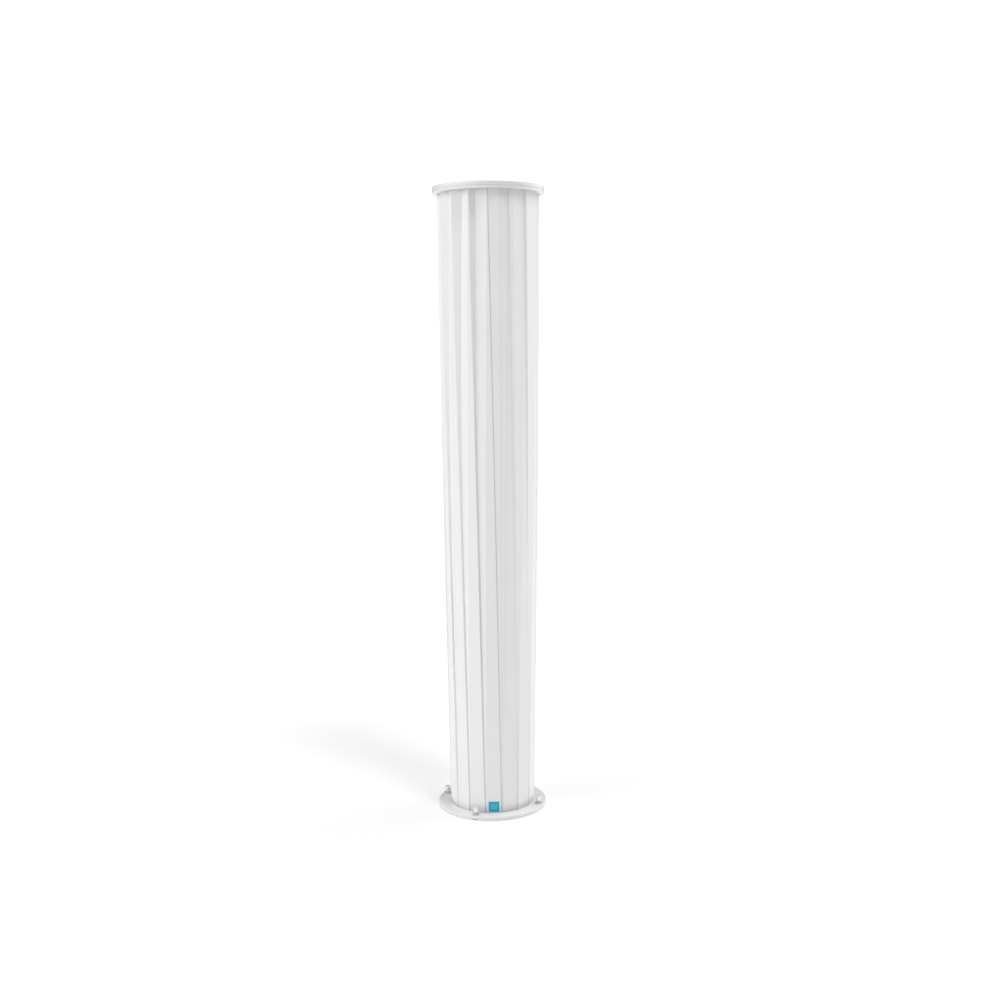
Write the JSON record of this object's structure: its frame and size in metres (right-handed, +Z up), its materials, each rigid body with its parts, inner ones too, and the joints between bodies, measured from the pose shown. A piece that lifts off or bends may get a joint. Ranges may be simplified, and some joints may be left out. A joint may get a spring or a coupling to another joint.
{
  "type": "tower air purifier",
  "caption": "Slim round floor-standing air purifier with a folded white sleeve between two plates, a base fan, a lift-out top filter and levelling feet.",
  "frame": {"origin": "on the floor, at the centre of the base plate and of the four foot pads", "axes": "+Z up, the front with the badge faces -Y, the power inlet is at +Y"},
  "size_m": [0.3, 0.3, 1.7],
  "materials": {
    "sleeve_white": "smooth matt folded sheet with crisp creases",
    "plate_white": "satin white powder coat",
    "badge_blue": "printed cyan-blue label",
    "chrome": "bright polished plate",
    "zinc": "zinc-plated steel",
    "black_rubber": "matt black rubber",
    "grey_plastic": "fine-textured moulded plastic",
    "black_plastic": "black moulded plastic",
    "filter_paper": "pleated filter paper",
    "carbon_black": "granular carbon foam",
    "board_green": "solder-masked circuit board",
    "clear_lens": "clear moulded lens"
  },
  "bodies": {
    "frame": {"pleated_sleeve": "sleeve_white", "base_plate": "plate_white", "top_ring": "plate_white", "top_plate": "plate_white", "inlet_block": "plate_white", "front_badge": "badge_blue", "motor": "zinc", "inlet_bracket": "zinc", "tie_rod_1": "zinc", "tie_rod_2": "zinc", "tie_rod_3": "zinc", "tie_rod_4": "zinc", "top_screw_1": "zinc", "top_screw_2": "zinc", "top_screw_3": "zinc", "top_screw_4": "zinc", "mains_lead": "black_rubber", "control_lead": "black_rubber", "motor_lead": "black_rubber", "lower_locator_ring": "grey_plastic", "upper_locator_ring": "grey_plastic", "fan_deck": "grey_plastic", "mid_deck": "grey_plastic", "fan_housing": "grey_plastic", "inner_duct": "grey_plastic", "duct_coupling": "grey_plastic", "motor_spider": "grey_plastic", "power_supply": "grey_plastic", "foot_ring_1": "grey_plastic", "foot_ring_2": "grey_plastic", "foot_ring_3": "grey_plastic", "foot_ring_4": "grey_plastic", "inlet_ring": "black_plastic", "power_inlet": "black_plastic", "switch_shell": "black_plastic", "control_board": "board_green", "status_lens": "clear_lens"},
    "impeller": {"impeller": "black_plastic", "motor_shaft": "zinc"},
    "cartridge": {"filter_media": "filter_paper", "carbon_core": "carbon_black", "cartridge_bottom_cap": "grey_plastic", "cartridge_top_cap": "grey_plastic", "cartridge_seal": "black_rubber", "outlet_grille": "plate_white"},
    "handle": {"bail_handle": "chrome"},
    "power_button": {"power_button": "grey_plastic"},
    "speed_button": {"speed_button": "grey_plastic"},
    "timer_button": {"timer_button": "grey_plastic"},
    "rocker": {"mains_rocker": "black_plastic"},
    "foot_1": {"foot_screw_1": "chrome", "foot_pad_1": "black_rubber"},
    "foot_2": {"foot_screw_2": "chrome", "foot_pad_2": "black_rubber"},
    "foot_3": {"foot_screw_3": "chrome", "foot_pad_3": "black_rubber"},
    "foot_4": {"foot_screw_4": "chrome", "foot_pad_4": "black_rubber"}
  },
  "joints": [
    {"name": "impeller_spin", "type": "hinge", "parent": "frame", "child": "impeller", "pos_m": [0, 0, 0.285], "axis": [0, 0, 1], "continuous": true},
    {"name": "cartridge_lift", "type": "slide", "parent": "frame", "child": "cartridge", "axis": [0, 0, 1], "range_m": [0, 0.55]},
    {"name": "handle_swing", "type": "hinge", "parent": "cartridge", "child": "handle", "pos_m": [0, 0, 1.6956], "axis": [-1, 0, 0], "range_deg": [0, 90]},
    {"name": "power_press", "type": "slide", "parent": "frame", "child": "power_button", "axis": [0, 0, -1], "range_m": [0, 0.0012], "stiffness_N_per_m": 700, "springref_m": -0.0012},
    {"name": "speed_press", "type": "slide", "parent": "frame", "child": "speed_button", "axis": [0, 0, -1], "range_m": [0, 0.0012], "stiffness_N_per_m": 700, "springref_m": -0.0012},
    {"name": "timer_press", "type": "slide", "parent": "frame", "child": "timer_button", "axis": [0, 0, -1], "range_m": [0, 0.0012], "stiffness_N_per_m": 700, "springref_m": -0.0012},
    {"name": "rocker_tip", "type": "hinge", "parent": "frame", "child": "rocker", "pos_m": [0, 0.1125, 0.06], "axis": [-1, 0, 0], "range_deg": [0, 14]},
    {"name": "foot_1_height", "type": "slide", "parent": "frame", "child": "foot_1", "axis": [0, 0, -1], "range_m": [0, 0.005]},
    {"name": "foot_2_height", "type": "slide", "parent": "frame", "child": "foot_2", "axis": [0, 0, -1], "range_m": [0, 0.005]},
    {"name": "foot_3_height", "type": "slide", "parent": "frame", "child": "foot_3", "axis": [0, 0, -1], "range_m": [0, 0.005]},
    {"name": "foot_4_height", "type": "slide", "parent": "frame", "child": "foot_4", "axis": [0, 0, -1], "range_m": [0, 0.005]}
  ]
}
